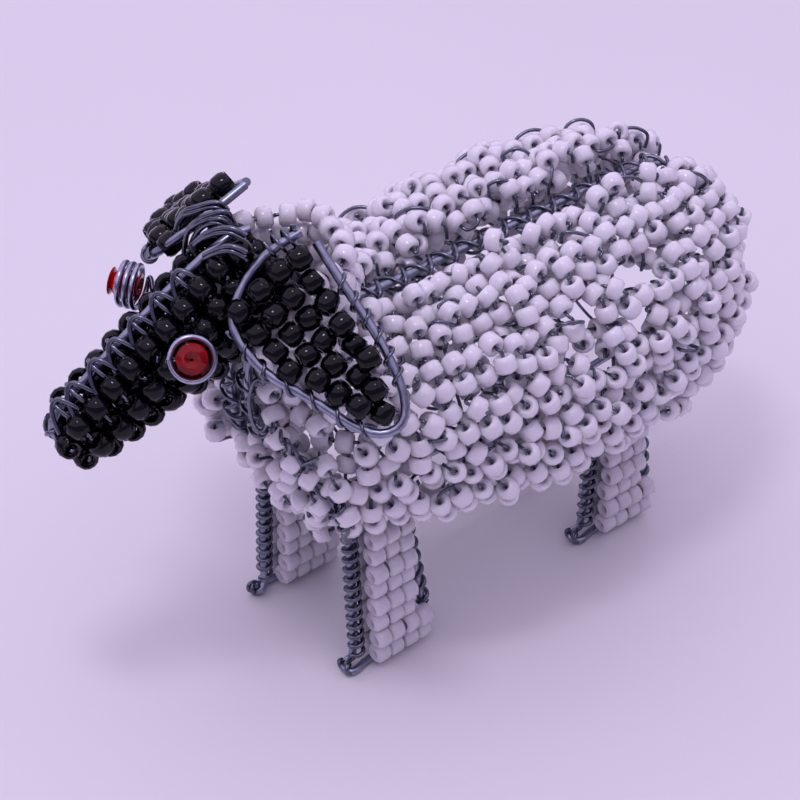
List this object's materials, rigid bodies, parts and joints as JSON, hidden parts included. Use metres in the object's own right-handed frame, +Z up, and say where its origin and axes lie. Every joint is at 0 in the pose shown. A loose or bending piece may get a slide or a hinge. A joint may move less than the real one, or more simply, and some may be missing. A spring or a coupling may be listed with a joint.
{
  "type": "beaded wire sheep figurine",
  "caption": "Standing sheep made of seed beads on a bound wire frame, with a white curly fleece, a black head and ears, coil-ringed red eyes and flat wire feet.",
  "frame": {"origin": "middle of the sheep's bounding box, on the surface it stands on", "axes": "+Y towards the rump, so the sheep faces -Y; +X towards its left side; +Z up"},
  "size_m": [0.0566, 0.117, 0.0766],
  "materials": {
    "white_bead": "glossy opaque",
    "black_bead": "glossy opaque",
    "red_bead": "glossy translucent",
    "heavy_wire": "galvanised, satin",
    "thin_wire": "galvanised, satin"
  },
  "bodies": {
    "root": {"belly_wire": "heavy_wire", "flank_tie": "thin_wire", "front_left_leg_beads": "white_bead", "front_left_leg_lashing": "thin_wire", "front_left_leg_wire": "heavy_wire", "front_right_leg_beads": "white_bead", "front_right_leg_lashing": "thin_wire", "front_right_leg_wire": "heavy_wire", "head_beads": "black_bead", "head_jaw_wire": "heavy_wire", "head_lashing": "thin_wire", "head_ridge_wire": "heavy_wire", "left_chest_lashing": "thin_wire", "left_chest_wire": "heavy_wire", "left_ear_beads": "black_bead", "left_ear_lashing": "thin_wire", "left_ear_wire": "heavy_wire", "left_eye_bead": "red_bead", "left_eye_coil": "thin_wire", "left_flank_fleece": "white_bead", "left_haunch_fleece": "white_bead", "left_shoulder_fleece": "white_bead", "loin_tie": "thin_wire", "neck_fleece": "white_bead", "rear_left_leg_beads": "white_bead", "rear_left_leg_lashing": "thin_wire", "rear_left_leg_wire": "heavy_wire", "rear_right_leg_beads": "white_bead", "rear_right_leg_lashing": "thin_wire", "rear_right_leg_wire": "heavy_wire", "right_chest_lashing": "thin_wire", "right_chest_wire": "heavy_wire", "right_ear_beads": "black_bead", "right_ear_lashing": "thin_wire", "right_ear_wire": "heavy_wire", "right_eye_bead": "red_bead", "right_eye_coil": "thin_wire", "right_flank_fleece": "white_bead", "right_haunch_fleece": "white_bead", "right_shoulder_fleece": "white_bead", "rump_tie": "thin_wire", "shoulder_tie": "thin_wire", "spine_lashing": "thin_wire", "spine_wire": "heavy_wire", "tail_lashing": "thin_wire", "tail_wire": "heavy_wire"}
  },
  "joints": []
}
